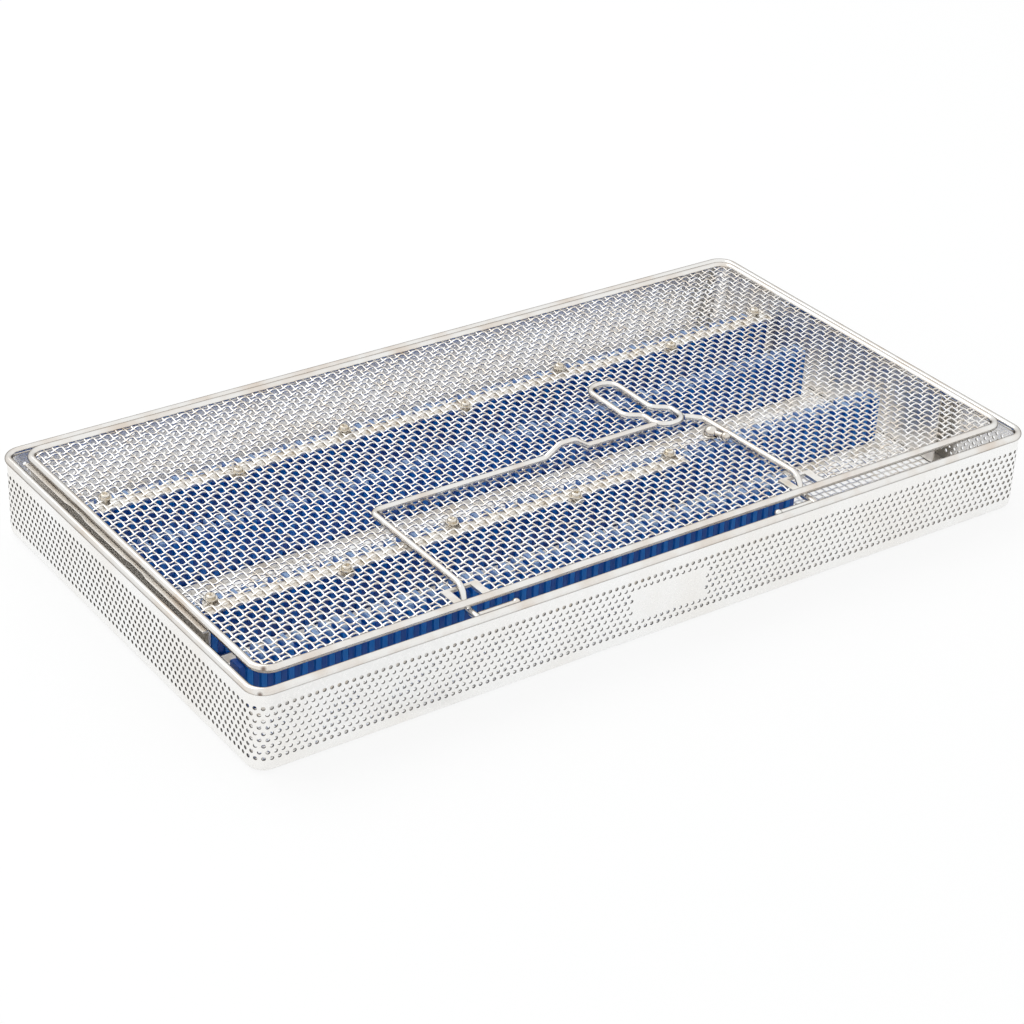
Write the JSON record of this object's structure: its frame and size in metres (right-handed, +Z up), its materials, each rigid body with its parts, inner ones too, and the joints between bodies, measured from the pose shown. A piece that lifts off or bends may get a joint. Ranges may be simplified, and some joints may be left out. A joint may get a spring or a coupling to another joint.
{
  "type": "sterilization basket",
  "caption": "Perforated steel instrument tray with a woven floor, standing silicone comb strips and a lift-off woven lid locked by a folding wire bail.",
  "frame": {"origin": "middle of the resting plane under the tray", "axes": "+X along the long side, +Y from the label side to the back, +Z up"},
  "size_m": [0.4858, 0.2646, 0.0591],
  "materials": {
    "steel_sheet": "electropolished stainless sheet",
    "steel_wire": "electropolished stainless wire",
    "steel_weave": "crimped woven stainless wire",
    "steel_fastener": "passivated stainless, slightly straw coloured",
    "silicone": "moulded blue silicone"
  },
  "bodies": {
    "tray": {"tray_wall": "steel_sheet", "tray_rim": "steel_wire", "tray_floor": "steel_weave", "side_plate_left": "steel_sheet", "side_plate_right": "steel_sheet", "comb_rail_1": "steel_sheet", "comb_rail_2": "steel_sheet", "comb_rail_3": "steel_sheet", "comb_rail_4": "steel_sheet", "comb_1": "silicone", "comb_2": "silicone", "comb_3": "silicone", "comb_4": "silicone"},
    "lid": {"lid_frame": "steel_wire", "lid_mesh": "steel_weave", "slot_frame_left": "steel_sheet", "slot_frame_right": "steel_sheet", "hold_strip_back": "steel_sheet", "hold_strip_front": "steel_sheet", "lid_screws": "steel_fastener", "lid_washers": "steel_fastener", "lid_nuts": "steel_fastener", "bail_catch": "steel_fastener"},
    "bail": {"bail_wire": "steel_wire", "finger_ring": "steel_wire", "bail_right_leg": "steel_wire", "foot_pin_left": "steel_wire", "foot_pin_right": "steel_wire"}
  },
  "joints": [
    {"name": "lid_lift", "type": "slide", "parent": "tray", "child": "lid", "axis": [0, 0, 1], "range_m": [0, 0.06]},
    {"name": "bail_hinge", "type": "hinge", "parent": "lid", "child": "bail", "pos_m": [0, -0.11985, 0.0485], "axis": [1, 0, 0], "range_deg": [0, 90]}
  ]
}
